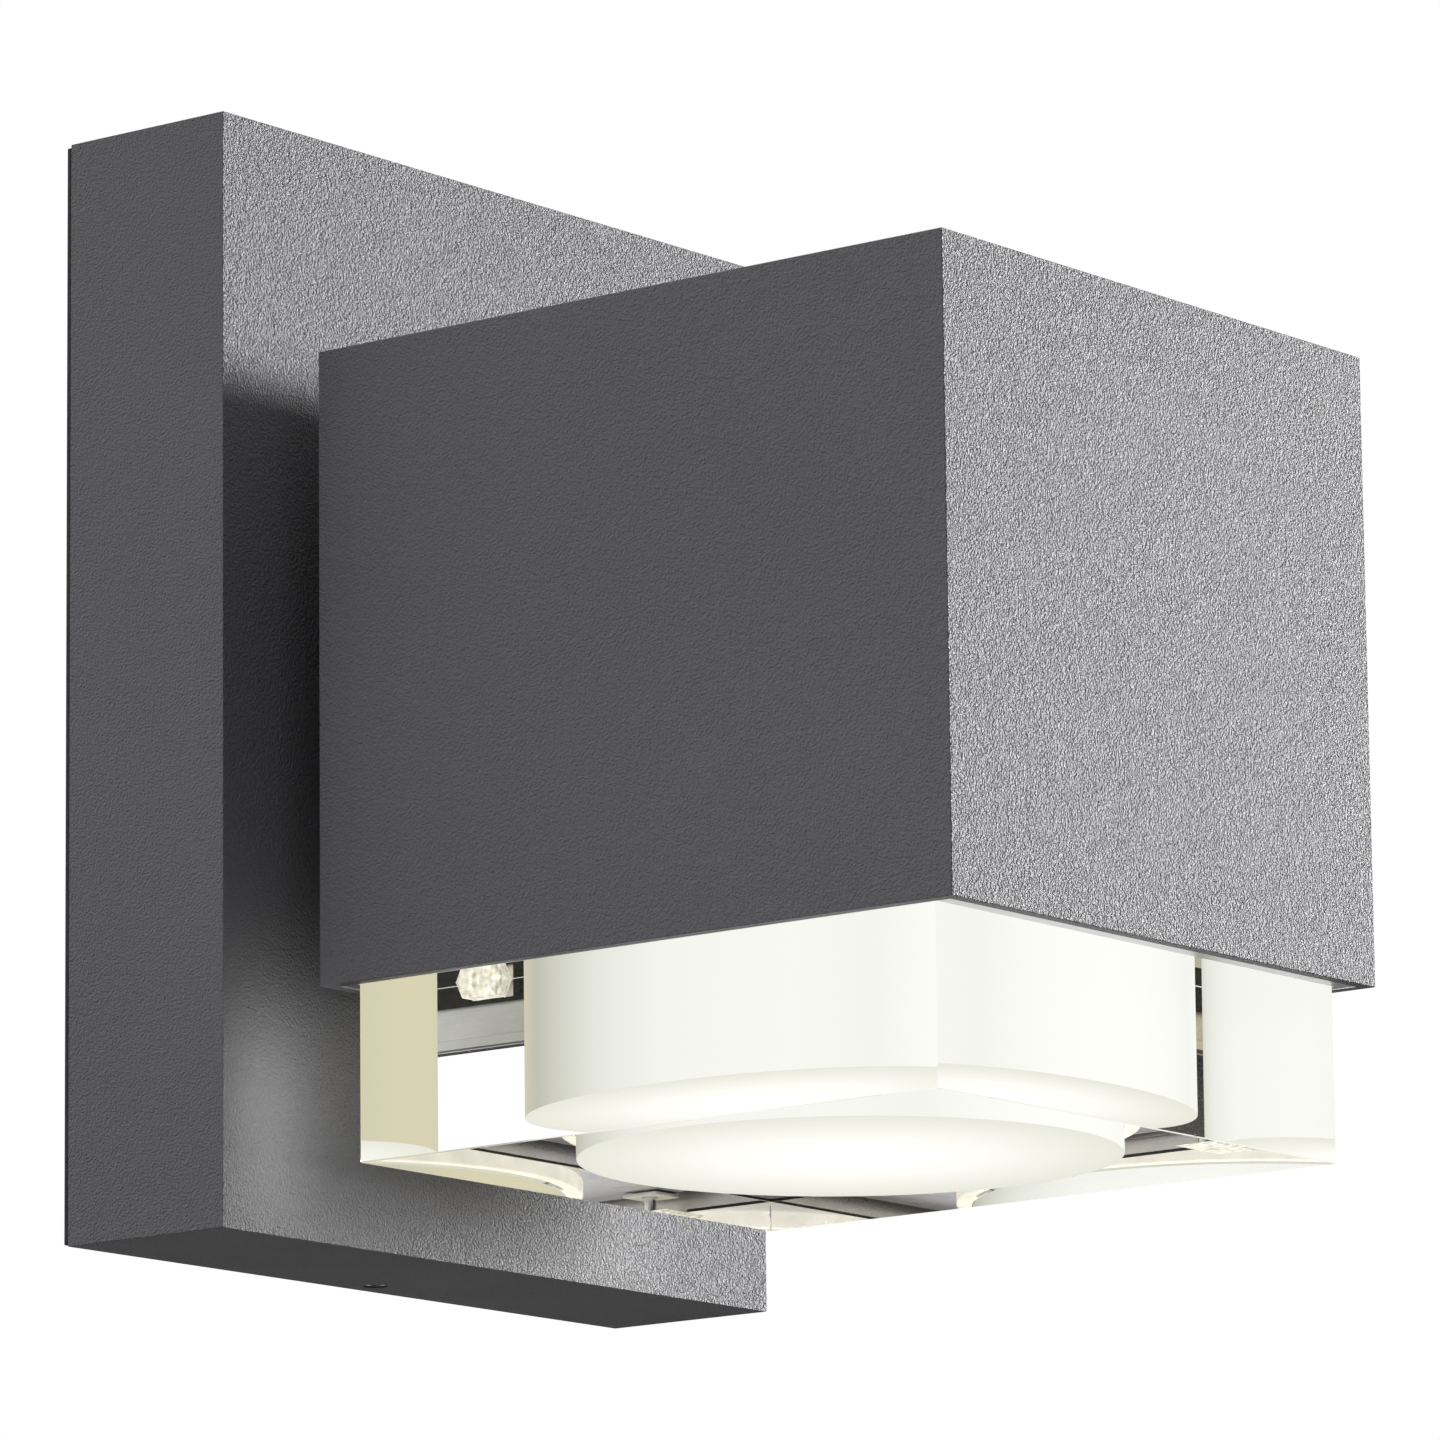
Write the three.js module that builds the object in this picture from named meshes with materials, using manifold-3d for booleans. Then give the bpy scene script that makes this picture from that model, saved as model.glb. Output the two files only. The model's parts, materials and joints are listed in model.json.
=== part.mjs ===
// Outdoor wall lantern: a square downlight head on a rectangular wall canopy.
// Millimetres, +Z up, -Y away from the wall. The origin is on the wall, at the canopy's centre.
import * as THREE from 'three';
import { mergeVertices } from 'three/addons/utils/BufferGeometryUtils.js';
import Module from 'manifold-3d';

const wasm = await Module();
wasm.setup();

// ---------------------------------------------------------------- driving dimensions
const fit = 0.3; // clearance left between two pieces that touch

const plate = { width: 153.5, depth: 37.6, height: 200, wall: 3 };
const head = { width: 124.7, depth: 138.1, height: 114.1, wall: 2.5 };
const neck = { gap: 9.8, width: 64, gasket: 1, cableRadius: 7, screwSpacing: 44 };
const lens = {
  sideInset: 4.1,
  frontInset: 6.5,
  backInset: 5.7,
  drop: 31.2,
  height: 43.05,
  recessRadius: 48,
  floor: 8.25,
};
const notch = { topWidth: 10.4, bottomWidth: 7.4, depth: 3.1, length: 5.8, spacing: 75.6 };
const sealStrip = { aboveBlock: 0.6, belowNotches: 0.6 };
const lensTrimRing = { height: 1.8, raised: 0.25 };
const rimGasket = { thickness: 1, inset: 0.4 };
const bracket = {
  strapWidth: 60,
  barWidth: 112,
  barHeight: 28,
  thickness: 2,
  tabWidth: 24,
  tabReach: 14,
  tabThickness: 2.5,
  tabClearance: 0.7,
  slot: { spacing: 89, length: 14, height: 4.6 },
  wireHole: { radius: 11, z: 45 },
  groundScrew: { x: 22, z: 66 },
};
const setScrew = {
  radius: 2,
  fromWall: 7.1,
  sunk: 0.2,
  tipCone: 0.8,
  socketRadius: 1.15,
  socketDepth: 1.8,
};
const driver = { width: 96, height: 36, depth: 19.5, wall: 1.5, centreZ: -62, fromWall: 12 };
const driverEar = { reach: 11, width: 12, thickness: 1.5, screwX: 54.5 };
const driverBoss = { radius: 4, height: 4.6 };
const terminals = { width: 22, depth: 11, height: 9, right: -12, mouths: [-28, -18], mouthRadius: 2 };
const lead = { radius: 0.9, hole: 1.4, belowSink: 0.9 };
const leads = [
  { name: 'lead_positive', finish: 'redLead', exitX: 22, neckX: 1.7, endX: 5 },
  { name: 'lead_negative', finish: 'blackLead', exitX: 16, neckX: -1.7, endX: -5 },
];
const sink = {
  width: 108,
  length: 116,
  base: 6,
  underside: -12,
  finHeight: 40,
  finThickness: 1.8,
  finCount: 11,
  finBand: 76,
};
const post = { radius: 4.5, x: 46, y: 50, holeDepth: 14 };
const backPad = 3;
const carrier = { width: 113, length: 124, thickness: 2, holeRadius: 48.5 };
const bond = { thickness: 3, width: 2.6 };
const clipScrewReach = 0.7; // how far a clip screw's end hangs into its notch
const clip = {
  width: 8,
  foot: 8.25,
  strip: 0.6,
  fromEdge: 0.3,
  waist: -30.5,
  knee: -27.5,
  top: -24,
  bow: 1.2,
};
const clipRib = { reach: 0.7, width: 14, low: -33, high: -31 };
const thermalPad = { width: 19, thickness: 0.5 };
const led = { width: 19, thickness: 1.4, phosphorRadius: 7, phosphorHeight: 0.4 };
const holder = { radius: 20, pocket: 20, aperture: 8, depth: 4.2, lip: 1.3, screwX: 15.5 };
const reflector = { wall: 1.2, throat: 11.5, flange: 4 };

const metricScrew = {
  m4: { shank: 2, hole: 2.3, head: 3.6, headHeight: 2.6, socket: 1.4, socketDepth: 1.3 },
  m3: { shank: 1.5, hole: 1.8, head: 2.7, headHeight: 1.8, socket: 1.1, socketDepth: 1 },
  m25: { shank: 1.25, hole: 1.55, head: 2.3, headHeight: 1.5, socket: 0.95, socketDepth: 0.8 },
};

// ---------------------------------------------------------------- derived places
const plateFront = -plate.depth;
const headBack = plateFront - neck.gap;
const headCentreY = headBack - head.depth / 2;
const headBottom = -head.height / 2;
const lensWidth = head.width - 2 * lens.sideInset;
const lensLength = head.depth - lens.frontInset - lens.backInset;
const lensCentreY = (lens.frontInset - lens.backInset) / 2; // in the head's own frame
const lensBottom = headBottom - lens.drop;
const lensTop = lensBottom + lens.height;
const notchFloor = lensTop - notch.depth;
const bondBottom = lensTop + fit;
const carrierBottom = bondBottom + bond.thickness + fit;
const carrierTop = carrierBottom + carrier.thickness;
const clipFootTop = carrierBottom - fit;
const clipX = lensWidth / 2 - clip.foot / 2;
const clipPlaces = [-1, 1].flatMap((side) => (
  [-notch.spacing / 2, notch.spacing / 2].map((offset) => ({ side, y: lensCentreY + offset }))
));
const neckScrewPlaces = [[-1, -1], [1, -1], [1, 1], [-1, 1]].map(([i, j]) => (
  [i * neck.screwSpacing / 2, j * neck.screwSpacing / 2]
));
const postPlaces = [[-1, -1], [1, -1], [1, 1], [-1, 1]].map(([i, j]) => (
  [i * post.x, j * post.y + lensCentreY]
));
const underSink = sink.underside - fit;
const driverExitY = -driver.depth / 2; // in the driver's own frame, as the next line is
const earSeat = plateFront + plate.wall + driverBoss.height + fit + driver.fromWall;

// ---------------------------------------------------------------- solids
/** A closed three.js geometry as a solid that can be joined and cut. */
function solid(geometry) {
  const bare = geometry.index ? geometry.clone() : geometry;
  for (const name of Object.keys(bare.attributes)) {
    if (name !== 'position') bare.deleteAttribute(name);
  }
  const merged = mergeVertices(bare, 1e-4);
  const index = merged.index.array;
  const kept = [];
  for (let i = 0; i < index.length; i += 3) {
    const [a, b, c] = [index[i], index[i + 1], index[i + 2]];
    if (a !== b && b !== c && c !== a) kept.push(a, b, c);
  }
  const mesh = new wasm.Mesh({
    numProp: 3,
    vertProperties: new Float32Array(merged.attributes.position.array),
    triVerts: new Uint32Array(kept),
  });
  return new wasm.Manifold(mesh);
}

/** The three.js geometry of a finished solid. */
function geometryOf(body) {
  const { vertProperties, triVerts, numProp } = body.getMesh();
  const geometry = new THREE.BufferGeometry();
  geometry.setAttribute('position', new THREE.BufferAttribute(vertProperties, numProp));
  geometry.setIndex(new THREE.BufferAttribute(triVerts, 1));
  geometry.computeVertexNormals();
  return geometry;
}

/** A box between two corners. */
function box(low, high) {
  const size = high.map((value, i) => value - low[i]);
  const middle = high.map((value, i) => (value + low[i]) / 2);
  return solid(new THREE.BoxGeometry(...size).translate(...middle));
}

/** A round rod along 'y' or 'z', from one coordinate to another, at its two other coordinates. */
function rod(axis, radius, from, to, [u, v], sides = 16) {
  const geometry = new THREE.CylinderGeometry(radius, radius, to - from, sides);
  const middle = (from + to) / 2;
  if (axis === 'y') return solid(geometry.translate(u, middle, v));
  return solid(geometry.rotateX(Math.PI / 2).translate(u, v, middle));
}

/** A turned solid about Z, from [radius, z] points that run anticlockwise round the section. */
function turned(points, sides = 16) {
  const profile = points.map(([radius, z]) => new THREE.Vector2(radius, z));
  return solid(new THREE.LatheGeometry(profile, sides).rotateX(Math.PI / 2));
}

/** An outline of [x, y] points as a shape. */
function outline(points) {
  return new THREE.Shape(points.map(([x, y]) => new THREE.Vector2(x, y)));
}

/** A circle as an outline of straight sides. */
function circle(radius, sides) {
  const points = [];
  for (let i = 0; i < sides; i += 1) {
    const angle = (2 * Math.PI * i) / sides;
    points.push([radius * Math.cos(angle), radius * Math.sin(angle)]);
  }
  return outline(points);
}

/** An outline in X and Z as an extrusion that reaches from y = 0 to minus its length. */
function extrudedAlongY(shape, length) {
  const geometry = new THREE.ExtrudeGeometry(shape, { depth: length, bevelEnabled: false });
  return geometry.rotateX(Math.PI / 2);
}

function union(bodies) {
  return bodies.reduce((joined, body) => joined.add(body));
}

function cut(body, tools) {
  return tools.reduce((left, tool) => left.subtract(tool), body);
}

/** A box between a near and a far x on one side of the middle, and two [y, z] corners. */
function sideBox(side, near, far, low, high) {
  const [a, b] = side > 0 ? [near, far] : [-far, -near];
  return box([a, ...low], [b, ...high]);
}

// ---------------------------------------------------------------- materials
const finishes = {
  powderCoat: { color: 0x55565a, roughness: 0.6, metalness: 0.2 },
  zincSteel: { color: 0xb4b6b8, roughness: 0.4, metalness: 0.9 },
  stainless: { color: 0xc8c9cb, roughness: 0.25, metalness: 1 },
  aluminium: { color: 0xc9cacc, roughness: 0.4, metalness: 0.9 },
  greenPaint: { color: 0x2c7a3d, roughness: 0.5, metalness: 0.3 },
  blackRubber: { color: 0x1c1c1d, roughness: 0.85, metalness: 0 },
  whitePlastic: { color: 0xf2f1ec, roughness: 0.5, metalness: 0 },
  greyPlastic: { color: 0x8e9092, roughness: 0.6, metalness: 0 },
  circuitBoard: { color: 0x1f6b3f, roughness: 0.5, metalness: 0 },
  thermalPad: { color: 0x9fb0bd, roughness: 0.8, metalness: 0 },
  ledCeramic: { color: 0xf3e2a0, roughness: 0.5, metalness: 0 },
  redLead: { color: 0xb3262a, roughness: 0.5, metalness: 0 },
  blackLead: { color: 0x202022, roughness: 0.5, metalness: 0 },
  clearAcrylic: { color: 0xf4f6f2, roughness: 0.05, metalness: 0 },
};

/** A named mesh of a solid, with a material of its own. */
function piece(name, body, finish, place = [0, 0, 0]) {
  const mesh = new THREE.Mesh(geometryOf(body), new THREE.MeshStandardMaterial(finishes[finish]));
  mesh.name = name;
  mesh.position.set(...place);
  return mesh;
}

// ---------------------------------------------------------------- screws
/** A socket screw: its seat is at z = 0, its head above and its shank below. */
function screwBody(size, length) {
  const sides = 12;
  const turnedBody = turned([
    [0, -length],
    [size.shank, -length],
    [size.shank, 0],
    [size.head, 0],
    [size.head, size.headHeight],
    [0, size.headHeight],
  ], sides);
  const socketFloor = size.headHeight - size.socketDepth;
  return turnedBody.subtract(rod('z', size.socket, socketFloor, size.headHeight + 1, [0, 0], 6));
}

/** Which way a screw's head points, as a turn about X. */
const headTowards = { wall: -Math.PI / 2, front: Math.PI / 2, up: 0, down: Math.PI };

function screw(name, size, length, finish, place, direction) {
  const mesh = piece(name, screwBody(size, length), finish, place);
  mesh.rotation.x = headTowards[direction];
  return mesh;
}

// ---------------------------------------------------------------- wall side
/** A cross-shaped plate with a tab at each end that the canopy's set screws press on. */
function mountingBracket() {
  const { slot, wireHole, groundScrew, thickness } = bracket;
  const outer = plate.height / 2 - plate.wall - bracket.tabClearance;
  const [strap, bar] = [bracket.strapWidth / 2, bracket.barWidth / 2];
  const [half, tab] = [bracket.barHeight / 2, bracket.tabWidth / 2];
  const upright = box([-strap, -thickness, -outer], [strap, 0, outer]);
  const crossbar = box([-bar, -thickness, -half], [bar, 0, half]);
  const tabs = [[-outer, bracket.tabThickness - outer], [outer - bracket.tabThickness, outer]].map(
    ([low, high]) => box([-tab, -bracket.tabReach, low], [tab, 0, high]),
  );
  const through = [-thickness - 1, 1];
  const slots = [-slot.spacing / 2, slot.spacing / 2].map((x) => box(
    [x - slot.length / 2, through[0], -slot.height / 2],
    [x + slot.length / 2, through[1], slot.height / 2],
  ));
  return cut(union([upright, crossbar, ...tabs]), [
    ...slots,
    rod('y', wireHole.radius, ...through, [0, wireHole.z], 32),
    rod('y', metricScrew.m4.hole, ...through, [groundScrew.x, groundScrew.z]),
  ]);
}

/** The canopy: a box open at the wall, with two bosses inside for the driver. */
function canopyBody() {
  const [w, h] = [plate.width / 2, plate.height / 2];
  const rim = -(rimGasket.thickness + fit);
  const inner = plateFront + plate.wall;
  const outer = box([-w, plateFront, -h], [w, rim, h]);
  const hollow = box([plate.wall - w, inner, plate.wall - h], [w - plate.wall, 1, h - plate.wall]);
  const places = [-driverEar.screwX, driverEar.screwX].map((x) => [x, driver.centreZ]);
  const bossTop = inner + driverBoss.height;
  const bosses = places.map((at) => rod('y', driverBoss.radius, inner - 1, bossTop, at));
  const bossHoles = places.map((at) => rod('y', metricScrew.m3.hole, inner - 1, bossTop + 1, at));
  const setHole = rod('z', setScrew.radius + fit, -h - 1, h + 1, [0, -setScrew.fromWall]);
  const shell = union([outer.subtract(hollow), ...bosses]);
  return cut(shell, [...bossHoles, setHole, ...neckHoles(plateFront - 1, inner + 1)]);
}

/** The cable hole and the four screw holes that run through everything in the neck. */
function neckHoles(from, to) {
  const screws = neckScrewPlaces.map((at) => rod('y', metricScrew.m4.hole, from, to, at));
  return [rod('y', neck.cableRadius, from, to, [0, 0], 24), ...screws];
}

/** The foam ring between the canopy's rim and the wall. */
function wallGasket() {
  const [w, h] = [plate.width / 2, plate.height / 2];
  const { inset, thickness } = rimGasket;
  const outer = box([inset - w, -thickness, inset - h], [w - inset, 0, h - inset]);
  const [iw, ih] = [w - plate.wall, h - plate.wall];
  return outer.subtract(box([-iw, -2 * thickness, -ih], [iw, 1, ih]));
}

/** A headless set screw along Z with a hex socket at its outer end and a blunt cone at its tip. */
function setScrewBody() {
  const outer = plate.height / 2 - setScrew.sunk;
  const tip = plate.height / 2 - plate.wall - bracket.tabClearance + fit;
  const body = turned([
    [0, tip],
    [setScrew.radius - setScrew.tipCone, tip],
    [setScrew.radius, tip + setScrew.tipCone],
    [setScrew.radius, outer],
    [0, outer],
  ], 20);
  const socket = rod('z', setScrew.socketRadius, outer - setScrew.socketDepth, outer + 1, [0, 0], 6);
  return body.subtract(socket);
}

function canopySetScrew(name, side) {
  const mesh = piece(name, setScrewBody(), 'stainless', [0, -setScrew.fromWall, 0]);
  mesh.rotation.x = side > 0 ? 0 : Math.PI;
  return mesh;
}

// ---------------------------------------------------------------- driver
// The driver's own frame: its centre across and up, y = 0 at its rear cover's outer face.
/** A tray with its mouth to the wall, and two ears that reach to the canopy's bosses. */
function driverCase() {
  const [w, h, t] = [driver.width / 2, driver.height / 2, driver.wall];
  const [mouth, floor] = [-driver.wall - fit, -driver.depth];
  const shell = box([-w, floor, -h], [w, mouth, h]);
  const hollow = box([t - w, floor + t, t - h], [w - t, 0, h - t]);
  const half = driverEar.width / 2;
  const earFar = w + driverEar.reach;
  const ears = [-1, 1].map((side) => (
    sideBox(side, w - t / 2, earFar, [earSeat, -half], [earSeat + driverEar.thickness, half])
  ));
  const screwHoles = [-driverEar.screwX, driverEar.screwX].map((x) => (
    rod('y', metricScrew.m3.hole, floor, 1, [x, 0])
  ));
  const leadHoles = leads.map(({ exitX }) => rod('z', lead.hole, h - 2 * t, h + 1, [exitX, driverExitY]));
  return cut(union([shell.subtract(hollow), ...ears]), [...screwHoles, ...leadHoles]);
}

/** A flat cover with a lip that drops into the tray's mouth. */
function driverCover() {
  const [w, h, t] = [driver.width / 2, driver.height / 2, driver.wall];
  const lip = { depth: 1.5, width: 1.5 };
  const [lw, lh] = [w - t - fit, h - t - fit];
  const lid = box([-w, -t, -h], [w, 0, h]);
  const ring = box([-lw, -t - lip.depth, -lh], [lw, -t / 2, lh]).subtract(
    box([-lw + lip.width, -driver.depth, -lh + lip.width], [lw - lip.width, -t, lh - lip.width]),
  );
  return lid.add(ring);
}

/** The circuit board with its transformer, capacitors, choke and switching transistor. */
function driverBoard() {
  const [w, h] = [driver.width / 2 - driver.wall - 1, driver.height / 2 - driver.wall - 1];
  const back = -driver.depth + driver.wall + fit;
  const face = back + 1.6;
  const sunk = face - 0.4;
  const board = box([-w, back, -h], [w, face, h]);
  const transformer = box([-9, sunk, -9], [11, face + 11, 9]);
  const choke = rod('y', 6, sunk, face + 8, [-24, 5], 20);
  const transistor = box([24, sunk, -11], [26.5, face + 9, -1]);
  const capacitors = [[-34, -8, 4, 11], [20, 7, 3, 7], [36, 5, 4, 9], [36, -6, 4, 9]].map(
    ([x, z, radius, height]) => rod('y', radius, sunk, face + height, [x, z]),
  );
  return union([board, transformer, choke, transistor, ...capacitors]);
}

/** Two push-in terminals for the supply wires, on top of the case. */
function terminalBlock() {
  const low = driver.height / 2 + fit;
  const high = low + terminals.height;
  const [front, back] = [driverExitY - terminals.depth / 2, driverExitY + terminals.depth / 2];
  const body = box([terminals.right - terminals.width, front, low], [terminals.right, back, high]);
  const mouths = terminals.mouths.map((x) => (
    rod('z', terminals.mouthRadius, low + 2, high + 1, [x, driverExitY], 12)
  ));
  return cut(body, mouths);
}

// ---------------------------------------------------------------- neck
/** One square layer of the neck, between two y coordinates. */
function neckLayer(front, back) {
  const half = neck.width / 2;
  return cut(box([-half, front, -half], [half, back, half]), neckHoles(front - 1, back + 1));
}

/** A rubber bush in the canopy's cable hole, about its own Z, with its flange at z = 0 and up. */
function grommet() {
  const bore = 3.9;
  const body = neck.cableRadius - fit;
  return turned([
    [bore, -plate.wall],
    [body, -plate.wall],
    [body, 0],
    [neck.cableRadius + 2.5, 0],
    [neck.cableRadius + 2.5, 1.5],
    [bore, 1.5],
    [bore, -plate.wall],
  ], 24);
}

// ---------------------------------------------------------------- leads
/** A lead from the driver's case, through the neck, to the side of the LED holder. */
function leadBody({ exitX, neckX, endX }) {
  const caseTop = driver.centreZ + driver.height / 2;
  const exitY = driverExitY - driver.fromWall;
  const under = underSink - lead.belowSink - lead.radius;
  const holderEdge = headCentreY + lensCentreY + holder.radius + fit;
  const route = new THREE.CatmullRomCurve3([
    [exitX, exitY, caseTop - driver.wall],
    [exitX, exitY, caseTop + 4],
    [exitX * 0.6, exitY - 1, caseTop + 22],
    [neckX * 1.6, exitY - 4, -6],
    [neckX, plateFront + 5, -1.2],
    [neckX, plateFront - 2, 0],
    [neckX, headBack - 4, 0],
    [neckX * 1.5, headBack - 7.4, -4],
    [endX, headBack - 8, under + 3],
    [endX, headBack - 12, under],
    [endX, holderEdge + 20, under],
    [endX, holderEdge, under],
  ].map((point) => new THREE.Vector3(...point)), false, 'centripetal');
  const options = { steps: 44, extrudePath: route, bevelEnabled: false };
  return solid(new THREE.ExtrudeGeometry(circle(lead.radius, 8), options));
}

// ---------------------------------------------------------------- head, in a frame at its own centre
/** The head: a box open below, with four posts from its roof and a pad inside its back wall. */
function headHousing() {
  const [w, d, t] = [head.width / 2, head.depth / 2, head.wall];
  const roof = -headBottom;
  const outer = box([-w, -d, headBottom], [w, d, roof]);
  const hollow = box([t - w, t - d, headBottom - 1], [w - t, d - t, roof - t]);
  const foot = sink.underside + sink.base + fit;
  const posts = postPlaces.map((at) => rod('z', post.radius, foot, roof - t / 2, at));
  const postHoles = postPlaces.map((at) => (
    rod('z', metricScrew.m3.hole, foot - 1, foot + post.holeDepth, at)
  ));
  const half = neck.width / 2;
  const padFront = d - t - backPad;
  const pad = box([-half, padFront, -half], [half, d - t / 2, half]);
  const ribHalf = clipRib.width / 2;
  const ribs = clipPlaces.map(({ side, y }) => sideBox(
    side,
    w - t - clipRib.reach,
    w - t / 2,
    [y - ribHalf, clipRib.low],
    [y + ribHalf, clipRib.high],
  ));
  const body = union([outer.subtract(hollow), ...posts, pad, ...ribs]);
  return cut(body, [...postHoles, ...neckHoles(padFront - 1, d + 1)]);
}

/** The finned heat sink, extruded along Y, with its screw holes. */
function heatSink() {
  const half = sink.width / 2;
  const low = sink.underside;
  const high = low + sink.base;
  const top = high + sink.finHeight;
  const pitch = (sink.finBand - sink.finThickness) / (sink.finCount - 1);
  const comb = [[-half, low], [half, low], [half, high]];
  for (let i = sink.finCount - 1; i >= 0; i -= 1) {
    const left = -sink.finBand / 2 + i * pitch;
    const right = left + sink.finThickness;
    comb.push([right, high], [right, top], [left, top], [left, high]);
  }
  comb.push([-half, high]);
  const back = lensCentreY + sink.length / 2;
  const body = solid(extrudedAlongY(outline(comb), sink.length).translate(0, back, 0));
  const postHoles = postPlaces.map((at) => rod('z', metricScrew.m3.hole, low - 1, high + 1, at));
  const holderHoles = [-holder.screwX, holder.screwX].map((x) => (
    rod('z', metricScrew.m3.hole, low - 1, high - 1, [x, lensCentreY])
  ));
  return cut(body, [...postHoles, ...holderHoles]);
}

/** The thin square pad between the LED and the heat sink. */
function thermalPadBody() {
  const [half, y] = [thermalPad.width / 2, lensCentreY];
  return box([-half, y - half, underSink - thermalPad.thickness], [half, y + half, underSink]);
}

/** The chip-on-board LED: a square substrate with a round phosphor field below. */
function ledBody(top) {
  const half = led.width / 2;
  const low = top - led.thickness;
  const substrate = box([-half, lensCentreY - half, low], [half, lensCentreY + half, top]);
  const face = low - led.phosphorHeight;
  return substrate.add(rod('z', led.phosphorRadius, face, low + 0.5, [0, lensCentreY], 32));
}

/** The round holder that clamps the LED to the heat sink. */
function ledHolder() {
  const top = underSink;
  const low = top - holder.depth;
  const half = holder.pocket / 2;
  const y = lensCentreY;
  const disc = rod('z', holder.radius, low, top, [0, y], 36);
  const pocket = box([-half, y - half, low + holder.lip], [half, y + half, top + 1]);
  const aperture = rod('z', holder.aperture, low - 1, top + 1, [0, y], 24);
  const holes = [-holder.screwX, holder.screwX].map((x) => (
    rod('z', metricScrew.m3.hole, low - 1, top + 1, [x, y])
  ));
  return cut(disc, [pocket, aperture, ...holes]);
}

/** A thin white cone from the LED's aperture to the lens block's recess, with a flange below. */
function reflectorBody() {
  const { wall, throat, flange } = reflector;
  const mouth = lens.recessRadius - 1;
  const top = underSink - holder.depth - metricScrew.m3.headHeight - 2 * fit;
  const low = carrierTop + fit;
  return turned([
    [mouth, low],
    [mouth + flange, low],
    [mouth + flange, low + wall],
    [mouth + wall, low + wall],
    [throat + wall, top],
    [throat, top],
    [mouth, low],
  ], 48);
}

/** The bead of silicone round the recess's mouth that holds the lens block to its carrier. */
function lensBond() {
  const [inner, outer] = [carrier.holeRadius, carrier.holeRadius + bond.width];
  const top = bondBottom + bond.thickness;
  const disc = rod('z', outer, bondBottom, top, [0, lensCentreY], 64);
  return disc.subtract(rod('z', inner, bondBottom - 1, top + 1, [0, lensCentreY], 64));
}

/** The aluminium frame above the lens block, with a round window over the recess. */
function lensCarrier() {
  const [w, l, y] = [carrier.width / 2, carrier.length / 2, lensCentreY];
  const sheet = box([-w, y - l, carrierBottom], [w, y + l, carrierTop]);
  const span = [carrierBottom - 1, carrierTop + 1];
  const holes = clipPlaces.map(({ side, y: at }) => (
    rod('z', metricScrew.m25.hole, ...span, [side * clipX, at])
  ));
  return cut(sheet, [rod('z', carrier.holeRadius, ...span, [0, y], 64), ...holes]);
}

/** The clear block, with its round frosted recess and four edge notches. */
function lensBlock() {
  const [w, l] = [lensWidth / 2, lensLength / 2];
  const y = lensCentreY;
  const body = box([-w, y - l, lensBottom], [w, y + l, lensTop]);
  const recess = rod('z', lens.recessRadius, lensBottom + lens.floor, lensTop + 1, [0, y], 72);
  return cut(body, [recess, ...clipPlaces.map(notchTool)]);
}

/** The tapered notch in the block's top edge that clears the end of one clip's screw. */
function notchTool({ side, y }) {
  const [a, b] = [notch.topWidth / 2, notch.bottomWidth / 2];
  const over = 1;
  const section = outline([
    [-b, notchFloor],
    [b, notchFloor],
    [a, lensTop],
    [a, lensTop + over],
    [-a, lensTop + over],
    [-a, lensTop],
  ]);
  const prism = extrudedAlongY(section, notch.length + over).rotateZ(Math.PI / 2);
  const from = side > 0 ? lensWidth / 2 - notch.length : -lensWidth / 2 - over;
  return solid(prism.translate(from, y, 0));
}

/** A strip that fills the space between the head's wall and the block. */
function wallStrip(low, high) {
  const [w, d] = [head.width / 2 - head.wall - fit, head.depth / 2 - head.wall - fit];
  const [iw, id, y] = [lensWidth / 2 + fit, lensLength / 2 + fit, lensCentreY];
  const outer = box([-w, -d, low], [w, d, high]);
  return outer.subtract(box([-iw, y - id, low - 1], [iw, y + id, high + 1]));
}

/** The black strip round the block's top edge, inside the head, with a gap at each notch. */
function lensGasket() {
  const half = notch.topWidth / 2;
  const high = lensTop + sealStrip.aboveBlock;
  const gaps = clipPlaces.map(({ side, y }) => sideBox(
    side,
    lensWidth / 2 - 1,
    head.width / 2,
    [y - half, notchFloor],
    [y + half, high + 1],
  ));
  return cut(wallStrip(notchFloor - sealStrip.belowNotches, high), gaps);
}

/** The bare metal strip round the block, just inside the head's bottom edge. */
function lensTrim() {
  const low = headBottom + lensTrimRing.raised;
  return wallStrip(low, low + lensTrimRing.height);
}

/** A nylon clip: its foot is under the carrier, and its bent leg snaps over the rib in the head. */
function lensClip({ side, y }) {
  const { strip, waist, knee, top, bow } = clip;
  const legX = lensWidth / 2 - clip.fromEdge;
  const footX = clipX - clip.foot / 2 + 1;
  const profile = [
    [footX, clipFootTop - strip],
    [legX, clipFootTop - strip],
    [legX, waist],
    [legX + bow, knee],
    [legX, top],
    [legX - strip, top],
    [legX + bow - strip, knee],
    [legX - strip, waist],
    [legX - strip, clipFootTop],
    [footX, clipFootTop],
  ];
  const strap = extrudedAlongY(outline(profile), clip.width).translate(0, clip.width / 2, 0);
  if (side < 0) strap.rotateZ(Math.PI);
  const holeEnds = [clipFootTop - 2, clipFootTop + 1];
  const hole = rod('z', metricScrew.m25.hole, ...holeEnds, [side * clipX, 0], 12);
  return solid(strap).subtract(hole).translate([0, y, 0]);
}

// ---------------------------------------------------------------- assembly
const lantern = new THREE.Group();

function addWallSide() {
  const { groundScrew, thickness } = bracket;
  const groundSeat = [groundScrew.x, -thickness - fit, groundScrew.z];
  lantern.add(
    piece('mounting_bracket', mountingBracket(), 'zincSteel'),
    screw('ground_screw', metricScrew.m4, thickness - fit, 'greenPaint', groundSeat, 'front'),
    piece('canopy', canopyBody(), 'powderCoat'),
    piece('wall_gasket', wallGasket(), 'blackRubber'),
    canopySetScrew('canopy_screw_top', 1),
    canopySetScrew('canopy_screw_bottom', -1),
  );
}

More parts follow.
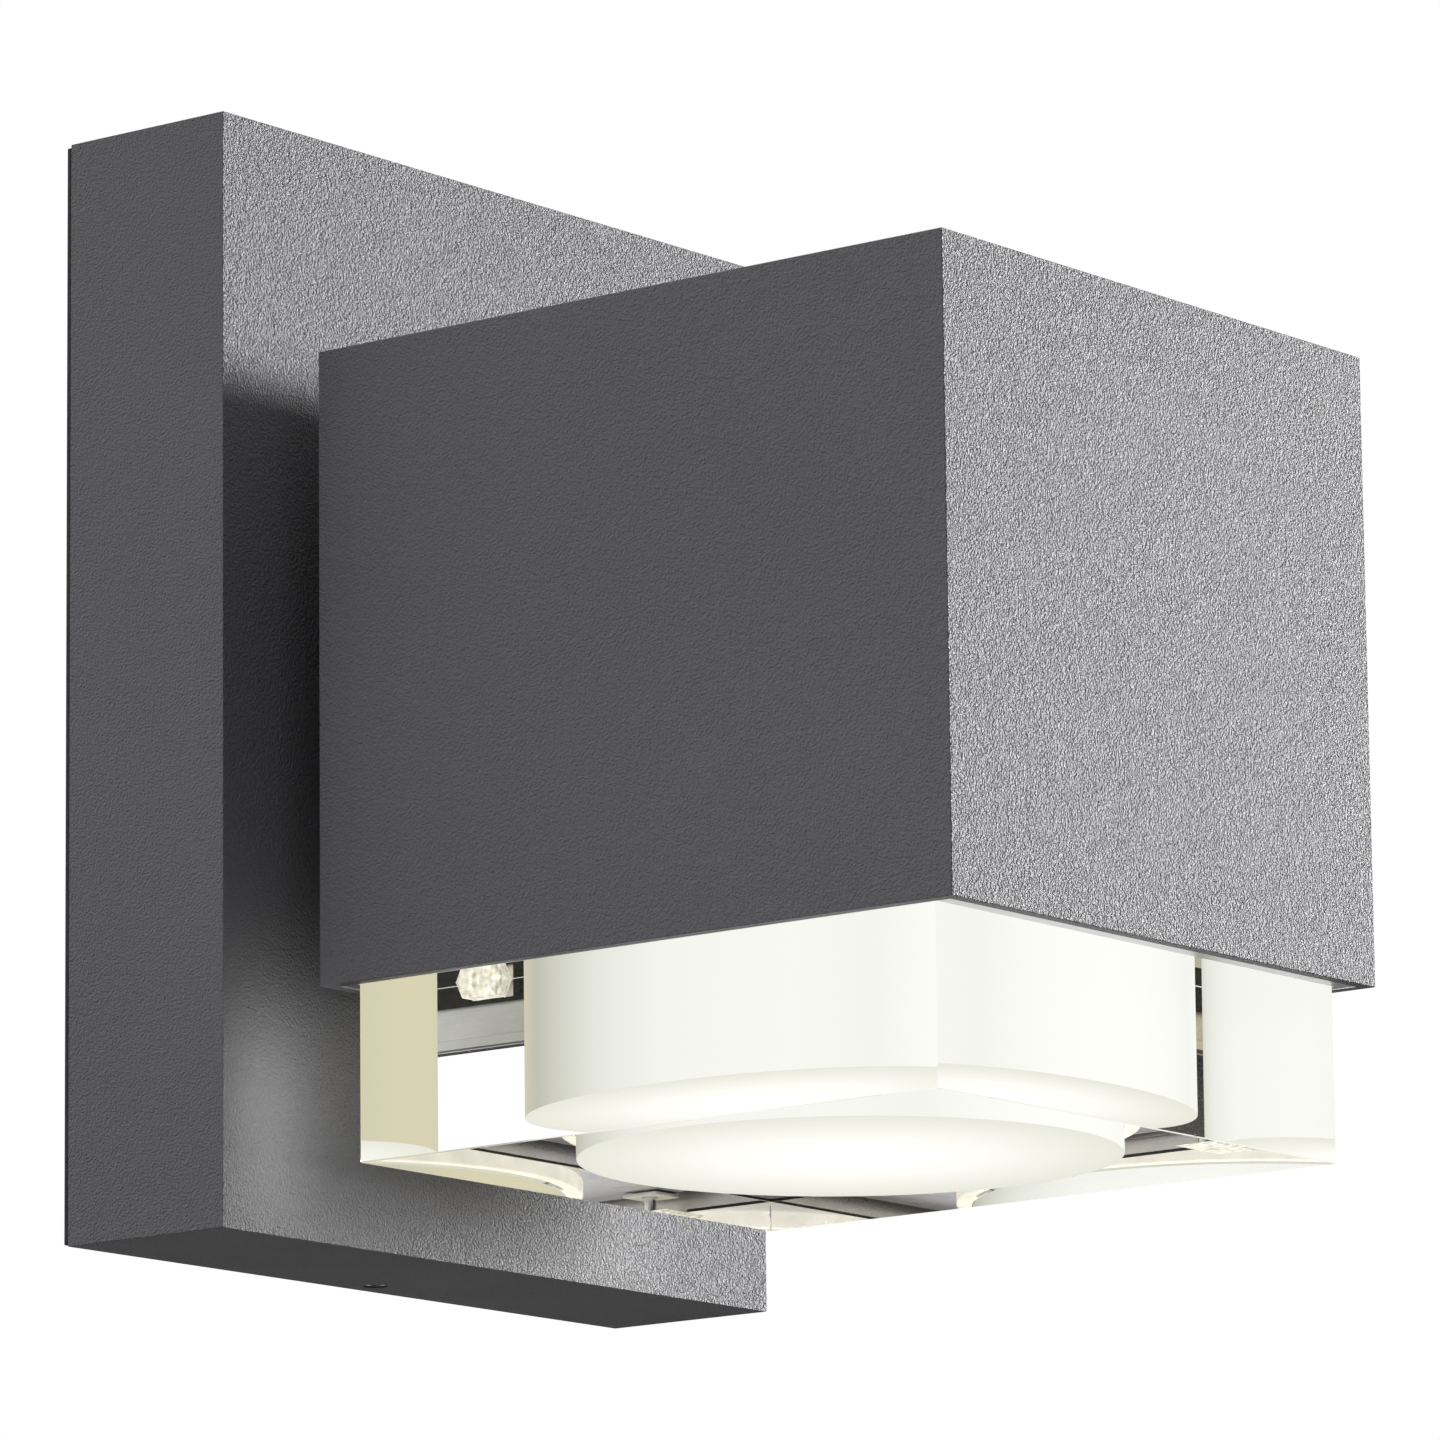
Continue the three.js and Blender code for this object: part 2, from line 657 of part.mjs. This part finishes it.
function addDriver() {
  const group = new THREE.Group();
  group.position.set(0, -driver.fromWall, driver.centreZ);
  group.add(
    piece('driver_case', driverCase(), 'whitePlastic'),
    piece('driver_cover', driverCover(), 'whitePlastic'),
    piece('driver_board', driverBoard(), 'circuitBoard'),
    piece('terminal_block', terminalBlock(), 'greyPlastic'),
  );
  const seat = earSeat + driverEar.thickness + fit;
  for (const [side, x] of [['left', -driverEar.screwX], ['right', driverEar.screwX]]) {
    group.add(screw(`driver_screw_${side}`, metricScrew.m3, 5, 'zincSteel', [x, seat, 0], 'wall'));
  }
  lantern.add(group);
}

function addNeck() {
  const rearBack = plateFront - fit;
  const rearFront = rearBack - neck.gasket;
  const frontFront = headBack + fit;
  const frontBack = frontFront + neck.gasket;
  lantern.add(
    piece('neck_gasket_rear', neckLayer(rearFront, rearBack), 'blackRubber'),
    piece('neck_spacer', neckLayer(frontBack + fit, rearFront - fit), 'powderCoat'),
    piece('neck_gasket_front', neckLayer(frontFront, frontBack), 'blackRubber'),
  );
  const seat = plateFront + plate.wall + fit;
  neckScrewPlaces.forEach(([x, z], i) => {
    lantern.add(screw(`neck_screw_${i + 1}`, metricScrew.m4, 18, 'zincSteel', [x, seat, z], 'wall'));
  });
  const bush = piece('cable_grommet', grommet(), 'blackRubber', [0, seat, 0]);
  bush.rotation.x = headTowards.wall;
  lantern.add(bush);
  leads.forEach((route) => lantern.add(piece(route.name, leadBody(route), route.finish)));
}

function addHead() {
  const group = new THREE.Group();
  group.position.set(0, headCentreY, 0);
  const ledTop = underSink - thermalPad.thickness - fit;
  group.add(
    piece('head_housing', headHousing(), 'powderCoat'),
    piece('heat_sink', heatSink(), 'aluminium'),
    piece('thermal_pad', thermalPadBody(), 'thermalPad'),
    piece('led_module', ledBody(ledTop), 'ledCeramic'),
    piece('led_holder', ledHolder(), 'whitePlastic'),
    piece('reflector', reflectorBody(), 'whitePlastic'),
    piece('lens_carrier', lensCarrier(), 'aluminium'),
    piece('lens_bond', lensBond(), 'whitePlastic'),
    piece('lens_block', lensBlock(), 'clearAcrylic'),
    piece('lens_gasket', lensGasket(), 'blackRubber'),
    piece('lens_trim', lensTrim(), 'aluminium'),
  );
  postPlaces.forEach(([x, y], i) => {
    const place = [x, y, underSink];
    group.add(screw(`heat_sink_screw_${i + 1}`, metricScrew.m3, 16, 'zincSteel', place, 'down'));
  });
  [-holder.screwX, holder.screwX].forEach((x, i) => {
    const place = [x, lensCentreY, underSink - holder.depth - fit];
    group.add(screw(`led_holder_screw_${i + 1}`, metricScrew.m3, 8, 'zincSteel', place, 'down'));
  });
  const clipScrewSeat = carrierTop + fit;
  const length = clipScrewSeat - lensTop + clipScrewReach;
  clipPlaces.forEach((place, i) => {
    group.add(piece(`lens_clip_${i + 1}`, lensClip(place), 'whitePlastic'));
    const seat = [place.side * clipX, place.y, clipScrewSeat];
    group.add(screw(`lens_clip_screw_${i + 1}`, metricScrew.m25, length, 'stainless', seat, 'up'));
  });
  lantern.add(group);
}

addWallSide();
addDriver();
addNeck();
addHead();

export default lantern;
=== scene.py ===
"""Outdoor wall lantern: a square downlight head on a rectangular wall canopy, in metres."""

import json
import math

import bmesh
import bpy
from mathutils import Matrix, Vector

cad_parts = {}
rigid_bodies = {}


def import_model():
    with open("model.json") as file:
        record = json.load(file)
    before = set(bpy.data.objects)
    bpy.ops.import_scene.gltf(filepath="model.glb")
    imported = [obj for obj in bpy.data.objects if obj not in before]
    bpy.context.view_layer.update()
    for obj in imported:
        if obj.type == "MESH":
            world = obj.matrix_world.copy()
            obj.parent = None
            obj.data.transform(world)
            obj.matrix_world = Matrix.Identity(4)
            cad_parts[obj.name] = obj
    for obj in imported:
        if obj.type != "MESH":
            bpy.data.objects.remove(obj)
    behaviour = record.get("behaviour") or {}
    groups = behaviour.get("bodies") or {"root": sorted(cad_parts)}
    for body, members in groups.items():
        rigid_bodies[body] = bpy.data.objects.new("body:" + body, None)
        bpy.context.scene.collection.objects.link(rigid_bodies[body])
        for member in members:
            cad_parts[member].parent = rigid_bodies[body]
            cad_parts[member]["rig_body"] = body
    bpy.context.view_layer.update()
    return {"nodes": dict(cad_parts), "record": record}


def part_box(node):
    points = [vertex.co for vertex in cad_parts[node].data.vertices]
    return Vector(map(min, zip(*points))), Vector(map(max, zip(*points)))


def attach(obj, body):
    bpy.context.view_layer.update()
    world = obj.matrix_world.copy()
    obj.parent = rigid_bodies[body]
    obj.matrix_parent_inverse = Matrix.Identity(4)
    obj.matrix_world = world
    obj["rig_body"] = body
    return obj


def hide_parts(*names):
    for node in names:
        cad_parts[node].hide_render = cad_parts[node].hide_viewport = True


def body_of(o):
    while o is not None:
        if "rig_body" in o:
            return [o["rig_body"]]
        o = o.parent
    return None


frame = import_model()

# ---------------------------------------------------------------- sizes, and places from the frame
MM = 0.001
BLOCK_LOW, BLOCK_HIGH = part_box("lens_block")
BLOCK_MIDDLE = (BLOCK_LOW + BLOCK_HIGH) / 2
HEAD_LOW, HEAD_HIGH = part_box("head_housing")
PLATE_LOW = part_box("canopy")[0]
RECESS_RADIUS = 48 * MM
RECESS_FLOOR = BLOCK_LOW.z + 8.25 * MM
FLOOR_HEIGHT = -0.62
FLOOR_HALF = 6.0

WELD = 2e-6  # corners nearer than this are one corner
FLAT = math.radians(0.6)  # triangles that meet at less than this are one flat face
SHARP = math.radians(35)  # edges that turn more than this are rounded
SLACK = 0.1 * MM  # a face nearer to a plane than this lies in it
FINE_SLACK = 0.05 * MM

# How far each piece's edges are rounded, in millimetres. The pieces that aren't named are small.
EDGES = {
    "canopy": 0.5,
    "head_housing": 0.5,
    "neck_spacer": 0.4,
    "neck_gasket_rear": 0.2,
    "neck_gasket_front": 0.2,
    "mounting_bracket": 0.35,
    "driver_case": 0.5,
    "driver_cover": 0.35,
    "terminal_block": 0.4,
    "wall_gasket": 0.25,
    "lens_block": 0.2,
    "lens_bond": 0.3,
}
SMALL_EDGE = 0.15
SLOTS = {part["node"]: part["material_slot"] for part in frame["record"]["subparts"]}

ACRYLIC_IOR = 1.49
SHADOW_TINT = (0.2, 0.2, 0.2)
WHITE = (1, 1, 1, 1)

CAMERA_PLACE = (-1.256798, -1.072886, -0.320382)
CAMERA_AZIMUTH, CAMERA_ELEVATION, CAMERA_ROLL = -51.92045, -11.15532, -0.62986
CAMERA_SENSOR_MM = 36
CAMERA_LENS_MM = 227.83


# ---------------------------------------------------------------- nodes
def spread_node(tree, value, reach, result):
    """A number that goes over result as value goes over reach."""
    node = tree.nodes.new("ShaderNodeMapRange")
    node.inputs["From Min"].default_value, node.inputs["From Max"].default_value = reach
    node.inputs["To Min"].default_value, node.inputs["To Max"].default_value = result
    tree.links.new(value, node.inputs["Value"])
    return node.outputs["Result"]


def math_node(tree, operation, first, second):
    node = tree.nodes.new("ShaderNodeMath")
    node.operation = operation
    tree.links.new(first, node.inputs[0])
    tree.links.new(second, node.inputs[1])
    return node.outputs["Value"]


def mix_node(tree, share, first, second):
    """The first shader where share is 0, and the second where it is 1."""
    node = tree.nodes.new("ShaderNodeMixShader")
    tree.links.new(share, node.inputs["Fac"])
    tree.links.new(first, node.inputs[1])
    tree.links.new(second, node.inputs[2])
    return node.outputs["Shader"]


class Look:
    """A Principled material whose colour, roughness and bump vary in object coordinates."""

    def __init__(self, name, metallic=0.0):
        self.material = bpy.data.materials.new(name)
        self.material.use_nodes = True
        self.tree = self.material.node_tree
        self.nodes = self.tree.nodes
        self.shader = self.nodes["Principled BSDF"]
        self.shader.inputs["Metallic"].default_value = metallic
        self.place = self.nodes.new("ShaderNodeTexCoord").outputs["Object"]

    def link(self, source, target):
        self.tree.links.new(source, target)

    def set(self, socket, value):
        self.shader.inputs[socket].default_value = value

    def stretched(self, stretch):
        """The object coordinates with each axis multiplied."""
        mapping = self.nodes.new("ShaderNodeMapping")
        mapping.inputs["Scale"].default_value = stretch
        self.link(self.place, mapping.inputs["Vector"])
        return mapping.outputs["Vector"]

    def noise(self, grain, detail=2.0, stretch=None):
        """Noise with grains about this many metres across."""
        texture = self.nodes.new("ShaderNodeTexNoise")
        texture.inputs["Scale"].default_value = 1 / grain
        texture.inputs["Detail"].default_value = detail
        self.link(self.stretched(stretch) if stretch else self.place, texture.inputs["Vector"])
        return texture.outputs["Fac"]

    def cells(self, grain):
        """Distance to the middle of round cells about this many metres apart."""
        texture = self.nodes.new("ShaderNodeTexVoronoi")
        texture.inputs["Scale"].default_value = 1 / grain
        self.link(self.place, texture.inputs["Vector"])
        return texture.outputs["Distance"]

    def ramp(self, value, stops):
        """A colour that goes through these (position, colour) stops as value grows."""
        node = self.nodes.new("ShaderNodeValToRGB")
        elements = node.color_ramp.elements
        while len(elements) < len(stops):
            elements.new(0.5)
        for element, (position, colour) in zip(elements, stops):
            element.position = position
            element.color = (*colour, 1)
        self.link(value, node.inputs["Fac"])
        return node.outputs["Color"]

    def colour(self, value, low, high, at=(0.3, 0.7)):
        """Base colour that goes from low to high as value goes from at[0] to at[1]."""
        self.link(self.ramp(value, ((at[0], low), (at[1], high))), self.shader.inputs["Base Color"])

    def rough(self, value, low, high):
        roughness = spread_node(self.tree, value, (0.3, 0.7), (low, high))
        self.link(roughness, self.shader.inputs["Roughness"])

    def bump(self, value, depth, strength=1.0):
        node = self.nodes.new("ShaderNodeBump")
        node.inputs["Distance"].default_value = depth
        node.inputs["Strength"].default_value = strength
        self.link(value, node.inputs["Height"])
        self.link(node.outputs["Normal"], self.shader.inputs["Normal"])


# ---------------------------------------------------------------- materials
def powder_coat():
    look = Look("powder_coat")
    look.colour(look.noise(60 * MM), (0.140, 0.139, 0.149), (0.148, 0.147, 0.157))
    look.rough(look.noise(30 * MM), 0.38, 0.42)
    look.bump(look.noise(0.42 * MM, detail=1.0), 0.5 * MM)
    look.set("Specular IOR Level", 0.25)
    return look.material


def brushed(name, dark, light, grain=(1, 1, 40), low=0.25, high=0.42):
    """Metal with fine lines along the axis that grain stretches least."""
    look = Look(name, metallic=1.0)
    look.colour(look.noise(9 * MM, detail=4.0), dark, light)
    lines = look.noise(12 * MM, detail=3.0, stretch=grain)
    look.rough(lines, low, high)
    look.bump(lines, 0.02 * MM, 0.4)
    return look.material


def zinc_steel():
    """Galvanised sheet with its spangle."""
    look = Look("zinc_steel", metallic=1.0)
    look.colour(look.cells(5 * MM), (0.50, 0.51, 0.52), (0.36, 0.37, 0.39), at=(0.1, 0.8))
    look.rough(look.noise(6 * MM, detail=4.0), 0.28, 0.46)
    look.bump(look.noise(1.5 * MM), 0.03 * MM, 0.3)
    return look.material


def moulded(name, dark, light):
    """Moulded plastic with a fine spark-eroded texture."""
    look = Look(name)
    look.colour(look.noise(14 * MM), dark, light)
    look.rough(look.noise(3 * MM), 0.38, 0.5)
    look.bump(look.noise(0.5 * MM), 0.03 * MM, 0.5)
    return look.material


def rubber(name, dark, light):
    look = Look(name)
    look.colour(look.noise(2 * MM, detail=4.0), dark, light)
    look.rough(look.noise(1.5 * MM), 0.7, 0.9)
    look.bump(look.cells(0.7 * MM), 0.08 * MM, 0.6)
    return look.material


def circuit_board():
    look = Look("circuit_board")
    tracks = look.cells(4 * MM)
    look.colour(tracks, (0.012, 0.10, 0.035), (0.03, 0.19, 0.07), at=(0.35, 0.4))
    look.rough(look.noise(3 * MM), 0.25, 0.4)
    look.bump(tracks, 0.05 * MM, 0.5)
    return look.material


def led_ceramic():
    """The LED's phosphor and ceramic, which glow."""
    look = Look("led_ceramic")
    grain = look.noise(0.6 * MM)
    look.colour(grain, (0.85, 0.62, 0.12), (0.93, 0.76, 0.28))
    look.rough(grain, 0.4, 0.6)
    look.set("Emission Color", (1.0, 0.9, 0.7, 1))
    look.set("Emission Strength", 2.0)
    return look.material


def clear_acrylic():
    """Polished acrylic, which mirrors only where it turns light back whole and bends the rest.

    The solid casts a light tinted shadow, because a lamp's rays aren't bent through it.
    """
    look = Look("clear_acrylic")
    look.colour(look.noise(30 * MM), (0.985, 0.99, 0.985), (1.0, 1.0, 1.0))
    look.set("Transmission Weight", 1.0)
    look.set("Roughness", 0.0)
    look.set("IOR", ACRYLIC_IOR)
    bent = look.nodes.new("ShaderNodeBsdfRefraction")
    bent.inputs["Roughness"].default_value = 0.0
    bent.inputs["IOR"].default_value = ACRYLIC_IOR
    fresnel = look.nodes.new("ShaderNodeFresnel")
    fresnel.inputs["IOR"].default_value = ACRYLIC_IOR
    whole = spread_node(look.tree, fresnel.outputs["Fac"], (0.9, 1.0), (0.0, 1.0))
    surface = mix_node(look.tree, whole, bent.outputs["BSDF"], look.shader.outputs["BSDF"])
    shadow = look.nodes.new("ShaderNodeBsdfTransparent")
    shadow.inputs["Color"].default_value = (*SHADOW_TINT, 1)
    in_shadow = look.nodes.new("ShaderNodeLightPath").outputs["Is Shadow Ray"]
    solid = mix_node(look.tree, in_shadow, surface, shadow.outputs["BSDF"])
    look.link(solid, look.nodes["Material Output"].inputs["Surface"])
    return look.material


def white_painted_glow(name, grain, dark, light):
    """Something white and cloudy with a painted glow in place of the LED's light, patchy from dark
    to light.
    """
    look = Look(name)
    cloud = look.noise(grain)
    look.colour(cloud, (0.70, 0.68, 0.62), (0.76, 0.74, 0.68))
    look.rough(cloud, 0.45, 0.6)
    look.bump(look.noise(1 * MM), 0.05 * MM, 0.5)
    # Painted glow, patchy from dark to light with the cloud noise.
    look.link(look.ramp(cloud, ((0.3, dark), (0.7, light))), look.shader.inputs["Emission Color"])
    look.set("Emission Strength", 1.0)
    return look.material


def frosted_painted_glow(name, along, reach, stops, strength=1.0):
    """Sanded acrylic with a painted glow in place of the LED's light, which goes through these
    stops over reach.

    Reach is in recess radii. Along "radius" it is the distance from the middle of the recess's
    floor, and along "depth" it is how far behind the recess's axis, negative in front of it.
    """
    look = Look(name)
    grain = look.noise(1.2 * MM)
    # Near-black base colour, so that the painted glow alone sets how bright the surface looks.
    look.colour(grain, (0.010, 0.010, 0.009), (0.014, 0.014, 0.013))
    look.rough(grain, 0.6, 0.8)
    look.bump(grain, 0.03 * MM, 0.3)
    look.set("Specular IOR Level", 0.0)
    from_floor = look.nodes.new("ShaderNodeVectorMath")
    from_floor.operation = "SUBTRACT"
    from_floor.inputs[1].default_value = (BLOCK_MIDDLE.x, BLOCK_MIDDLE.y, RECESS_FLOOR)
    look.link(look.place, from_floor.inputs[0])
    if along == "radius":
        measure = look.nodes.new("ShaderNodeVectorMath")
        measure.operation = "LENGTH"
        distance = measure.outputs["Value"]
    else:
        measure = look.nodes.new("ShaderNodeSeparateXYZ")
        distance = measure.outputs["Y"]
    look.link(from_floor.outputs["Vector"], measure.inputs[0])
    metres = [radii * RECESS_RADIUS for radii in reach]
    share = spread_node(look.tree, distance, metres, (0.0, 1.0))
    # Painted glow: its brightness over the stops stands in for how the LED's light falls on the
    # surface.
    look.link(look.ramp(share, stops), look.shader.inputs["Emission Color"])
    look.set("Emission Strength", strength)
    return look.material


LOOKS = {
    "powder_coat": powder_coat(),
    "zinc_steel": zinc_steel(),
    "stainless": brushed("stainless", (0.66, 0.66, 0.68), (0.76, 0.76, 0.78), low=0.05, high=0.12),
    "raw_aluminium": brushed("raw_aluminium", (0.64, 0.63, 0.66), (0.72, 0.71, 0.74), (30, 1, 30)),
    "earth_green": brushed("earth_green", (0.03, 0.19, 0.06), (0.05, 0.26, 0.09)),
    "black_rubber": rubber("black_rubber", (0.024, 0.024, 0.025), (0.036, 0.036, 0.037)),
    "white_plastic": moulded("white_plastic", (0.82, 0.81, 0.77), (0.88, 0.87, 0.83)),
    "grey_plastic": moulded("grey_plastic", (0.24, 0.25, 0.26), (0.30, 0.31, 0.32)),
    "circuit_board": circuit_board(),
    "thermal_pad": rubber("thermal_pad", (0.31, 0.39, 0.47), (0.38, 0.46, 0.54)),
    "led_ceramic": led_ceramic(),
    "red_lead": moulded("red_lead", (0.40, 0.016, 0.016), (0.5, 0.03, 0.025)),
    "black_lead": moulded("black_lead", (0.012, 0.012, 0.013), (0.02, 0.02, 0.022)),
    "clear_acrylic": clear_acrylic(),
}
# Painted glow on the silicone bead, in place of the LED's light on it.
SILICONE_PAINTED_GLOW = white_painted_glow("silicone_painted_glow", 4 * MM, (0.52, 0.49, 0.40), (0.62, 0.59, 0.50))
# Painted reflection of the lit wall in the milled notches, as a glow patchy from dark to light.
MILLED_NOTCH_PAINTED_GLOW = white_painted_glow("milled_notch_painted_glow", 1.2 * MM, (0.24, 0.21, 0.13), (0.84, 0.82, 0.70))
# Painted glow on the recess wall, brightest in front of the recess's axis and darker behind it,
# standing in for how the light falls on the wall.
FROSTED_WALL_PAINTED_GLOW = frosted_painted_glow(
    "frosted_wall_painted_glow",
    along="depth",
    reach=(-1, 1),
    stops=(
        (0.0, (0.98, 0.99, 0.94)),
        (0.11, (0.90, 0.91, 0.85)),
        (0.24, (0.93, 0.94, 0.88)),
        (0.5, (0.90, 0.91, 0.85)),
        (0.66, (0.79, 0.80, 0.73)),
        (0.86, (0.53, 0.53, 0.44)),
        (1.0, (0.69, 0.65, 0.45)),
    ),
)
# Painted glow on the recess floor, brightest at its middle and darker towards its edge.
FROSTED_FLOOR_PAINTED_GLOW = frosted_painted_glow(
    "frosted_floor_painted_glow",
    along="radius",
    reach=(0, 1),
    stops=((0.0, (1.0, 1.0, 0.95)), (0.5, (0.88, 0.88, 0.82)), (1.0, (0.72, 0.72, 0.64))),
    strength=1.12,
)


# ---------------------------------------------------------------- pieces
def solid_of(node):
    """A CAD node's solid with its flat faces whole again, not cut into triangles."""
    bm = bmesh.new()
    bm.from_mesh(frame["nodes"][node].data)
    bmesh.ops.remove_doubles(bm, verts=bm.verts, dist=WELD)
    bmesh.ops.dissolve_limit(bm, angle_limit=FLAT, verts=list(bm.verts), edges=list(bm.edges))
    bmesh.ops.recalc_face_normals(bm, faces=list(bm.faces))
    return bm


def make_piece(node, bm):
    """A piece with its edges rounded, in place of the CAD node whose solid it is."""
    name = f"{node}_finish"
    mesh = bpy.data.meshes.new(name)
    bm.to_mesh(mesh)
    bm.free()
    mesh.materials.append(LOOKS[SLOTS[node]])
    mesh.shade_smooth()
    piece = bpy.data.objects.new(name, mesh)
    bpy.context.scene.collection.objects.link(piece)
    bevel = piece.modifiers.new("edges", "BEVEL")
    bevel.width = EDGES.get(node, SMALL_EDGE) * MM
    bevel.segments = 3
    bevel.limit_method = "ANGLE"
    bevel.angle_limit = SHARP
    bevel.miter_outer = "MITER_ARC"
    weighted = piece.modifiers.new("normals", "WEIGHTED_NORMAL")
    weighted.weight = 100
    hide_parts(node)
    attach(piece, body_of(frame["nodes"][node])[0])
    return piece


def head_housing():
    """The head: coated outside and on its rim, with the casting left bare inside."""
    coated, bare = range(2)
    bm = solid_of("head_housing")
    low, high = HEAD_LOW, HEAD_HIGH
    for face in bm.faces:
        centre = face.calc_center_median()
        sides = (centre.x - low.x, high.x - centre.x, centre.y - low.y, high.y - centre.y)
        on_rim = centre.z < low.z + SLACK
        outside = min(*sides, high.z - centre.z) < SLACK
        face.material_index = coated if outside or on_rim else bare
    piece = make_piece("head_housing", bm)
    piece.data.materials.append(LOOKS["raw_aluminium"])


def lens_block():
    """The clear block: polished outside, with a sanded recess and milled notches that carry painted
    glow.
    """
    wall, floor, notch = 1, 2, 3
    bm = solid_of("lens_block")
    axis = Vector((BLOCK_MIDDLE.x, BLOCK_MIDDLE.y))
    for face in bm.faces:
        centre = face.calc_center_median()
        in_recess = all((v.co.xy - axis).length < RECESS_RADIUS + FINE_SLACK for v in face.verts)
        if in_recess and centre.z < BLOCK_HIGH.z - SLACK:
            face.material_index = floor if abs(centre.z - RECESS_FLOOR) < SLACK else wall
        elif min(*(centre - BLOCK_LOW), *(BLOCK_HIGH - centre)) > FINE_SLACK:
            face.material_index = notch
    round_faces = {face.index for face in bm.faces if face.material_index == wall}
    piece = make_piece("lens_block", bm)
    piece.modifiers.remove(piece.modifiers["normals"])
    piece.modifiers["edges"].segments = 2
    for material in (FROSTED_WALL_PAINTED_GLOW, FROSTED_FLOOR_PAINTED_GLOW, MILLED_NOTCH_PAINTED_GLOW):
        piece.data.materials.append(material)
    for face in piece.data.polygons:
        face.use_smooth = face.index in round_faces


def lens_bond():
    """The silicone bead round the recess's mouth, with a painted glow in place of the LED's light.
    """
    piece = make_piece("lens_bond", solid_of("lens_bond"))
    piece.data.materials[0] = SILICONE_PAINTED_GLOW


OWN_MATERIALS = {"head_housing": head_housing, "lens_block": lens_block, "lens_bond": lens_bond}
for plain in sorted(set(frame["nodes"]) - set(OWN_MATERIALS)):
    make_piece(plain, solid_of(plain))
for make in OWN_MATERIALS.values():
    make()


# ---------------------------------------------------------------- stage, lights and camera
def direction(azimuth, elevation):
    """The way to something at these degrees: azimuth 0 is straight in front, and 90 is +X."""
    turn, rise = math.radians(azimuth), math.radians(elevation)
    return Vector(
        (math.sin(turn) * math.cos(rise), -math.cos(turn) * math.cos(rise), math.sin(rise))
    )


def stage_floor():
    bm = bmesh.new()
    bmesh.ops.create_grid(bm, x_segments=1, y_segments=1, size=FLOOR_HALF)
    bmesh.ops.translate(bm, verts=bm.verts, vec=(0, 0, FLOOR_HEIGHT))
    mesh = bpy.data.meshes.new("floor")
    bm.to_mesh(mesh)
    bm.free()
    look = Look("pale_floor")
    look.colour(look.noise(0.5), (0.60, 0.60, 0.60), (0.64, 0.64, 0.64))
    look.rough(look.noise(0.2), 0.7, 0.8)
    mesh.materials.append(look.material)
    floor = bpy.data.objects.new("floor", mesh)
    bpy.context.scene.collection.objects.link(floor)
    floor.visible_diffuse = floor.visible_glossy = False


def add_lamp(name, data, towards):
    lamp = bpy.data.objects.new(name, data)
    lamp.rotation_mode = "QUATERNION"
    lamp.rotation_quaternion = towards.to_track_quat("-Z", "Y")
    bpy.context.scene.collection.objects.link(lamp)
    return lamp


def sun(name, azimuth, elevation, softness, power):
    """Even light from one direction, whose shadows blur over this many degrees."""
    data = bpy.data.lights.new(name, "SUN")
    data.angle = math.radians(softness)
    data.energy = power
    add_lamp(name, data, -direction(azimuth, elevation))


def glow(name, place, width, height, power):
    """The lens block's light on a patch of the canopy: a small hidden lamp that faces the wall."""
    data = bpy.data.lights.new(name, "AREA")
    data.shape = "RECTANGLE"
    data.size = width
    data.size_y = height
    data.energy = power
    data.color = (1.0, 0.99, 0.95)
    lamp = add_lamp(name, data, Vector((0, 1, 0)))
    lamp.location = place
    lamp.visible_camera = lamp.visible_glossy = lamp.visible_transmission = False


def studio_world():
    """White to the eye and through the glass.

    It sheds less light from the front and from below, and less again on what mirrors it.
    """
    world = bpy.data.worlds.new("studio")
    world.use_nodes = True
    tree = world.node_tree
    path = tree.nodes.new("ShaderNodeLightPath").outputs
    ray = tree.nodes.new("ShaderNodeSeparateXYZ")
    tree.links.new(tree.nodes.new("ShaderNodeTexCoord").outputs["Generated"], ray.inputs["Vector"])
    front_to_back = spread_node(tree, ray.outputs["Y"], (-0.7, 0.7), (0.3, 1.25))
    low_to_high = spread_node(tree, ray.outputs["Z"], (-0.6, 0.2), (0.1, 1.32))
    mirrored = spread_node(tree, path["Is Glossy Ray"], (0, 1), (1.0, 0.38))
    even = math_node(tree, "MULTIPLY", front_to_back, low_to_high)
    shed = tree.nodes["Background"]
    shed.inputs["Color"].default_value = WHITE
    tree.links.new(math_node(tree, "MULTIPLY", even, mirrored), shed.inputs["Strength"])
    seen = tree.nodes.new("ShaderNodeBackground")
    seen.inputs["Color"].default_value = WHITE
    straight = math_node(tree, "MAXIMUM", path["Is Camera Ray"], path["Is Transmission Ray"])
    light = mix_node(tree, straight, shed.outputs["Background"], seen.outputs["Background"])
    tree.links.new(light, tree.nodes["World Output"].inputs["Surface"])
    bpy.context.scene.world = world


def front_left_camera():
    """A camera in front of the lantern, to its left and below it, rolled a little."""
    data = bpy.data.cameras.new("camera")
    data.sensor_width = CAMERA_SENSOR_MM
    data.lens = CAMERA_LENS_MM
    data.clip_start = 0.05
    data.clip_end = 50
    camera = bpy.data.objects.new("camera", data)
    back = direction(CAMERA_AZIMUTH, CAMERA_ELEVATION)
    roll = math.radians(CAMERA_ROLL)
    level = Vector((0, 0, 1)).cross(back).normalized()
    upright = back.cross(level)
    right = math.cos(roll) * level + math.sin(roll) * upright
    up = math.cos(roll) * upright - math.sin(roll) * level
    turned = Matrix((right, up, back)).transposed()
    camera.matrix_world = Matrix.Translation(CAMERA_PLACE) @ turned.to_4x4()
    bpy.context.scene.collection.objects.link(camera)
    bpy.context.scene.camera = camera


stage_floor()
studio_world()
sun("key", azimuth=67, elevation=7, softness=22, power=6.2)
glow(
    "glow_side",
    place=(BLOCK_LOW.x - 7 * MM, PLATE_LOW.y - 16 * MM, -80 * MM),
    width=10 * MM,
    height=30 * MM,
    power=0.006,
)
glow(
    "glow_low",
    place=(34 * MM, PLATE_LOW.y - 12 * MM, PLATE_LOW.z + 5 * MM),
    width=22 * MM,
    height=5 * MM,
    power=0.0012,
)
front_left_camera()
bpy.context.scene.view_settings.view_transform = "Standard"
